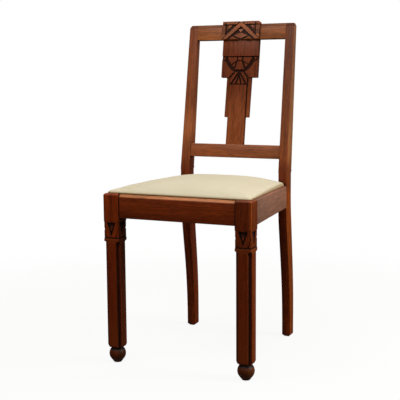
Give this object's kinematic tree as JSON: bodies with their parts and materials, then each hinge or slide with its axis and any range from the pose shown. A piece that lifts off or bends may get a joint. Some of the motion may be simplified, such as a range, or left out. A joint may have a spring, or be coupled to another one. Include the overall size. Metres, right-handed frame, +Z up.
{
  "type": "oak side chair",
  "caption": "Oak side chair with raked back, carved crest block and stepped splat, notched square front legs on ball feet, swept rear legs and a lift-out upholstered seat.",
  "frame": {"origin": "on the floor, in the middle of the chair's box", "axes": "+Z up, -Y the way the sitter faces, +X to the right seen from the front"},
  "size_m": [0.4188, 0.4699, 0.9213],
  "materials": {
    "stained_oak": "waxed, satin, dark in the carving",
    "bare_oak": "raw, aged",
    "bare_beech": "raw, aged",
    "screw_steel": "dull",
    "tack_steel": "blued",
    "jute_webbing": "coarse weave",
    "hessian": "open weave",
    "stuffing": "matted fibre",
    "cover_cloth": "plain cream woven cloth"
  },
  "bodies": {
    "chair_frame": {"front_leg_left": "stained_oak", "front_leg_right": "stained_oak", "rear_post_left": "stained_oak", "rear_post_right": "stained_oak", "crest_rail": "stained_oak", "crest_block": "stained_oak", "back_splat": "stained_oak", "cross_rail": "stained_oak", "front_seat_rail": "stained_oak", "side_seat_rail_left": "stained_oak", "side_seat_rail_right": "stained_oak", "rear_seat_rail": "stained_oak", "corner_block_front_left": "bare_oak", "corner_block_front_right": "bare_oak", "corner_block_rear_left": "bare_oak", "corner_block_rear_right": "bare_oak", "corner_block_screws": "screw_steel"},
    "drop_in_seat": {"seat_frame_front": "bare_beech", "seat_frame_back": "bare_beech", "seat_frame_left": "bare_beech", "seat_frame_right": "bare_beech", "webbing_lengthwise": "jute_webbing", "webbing_crosswise": "jute_webbing", "hessian_sheet": "hessian", "seat_stuffing": "stuffing", "seat_cover": "cover_cloth", "cover_tacks": "tack_steel"}
  },
  "joints": [
    {"name": "seat_lift", "type": "slide", "parent": "chair_frame", "child": "drop_in_seat", "axis": [0, 0, 1], "range_m": [0, 0.15]}
  ]
}
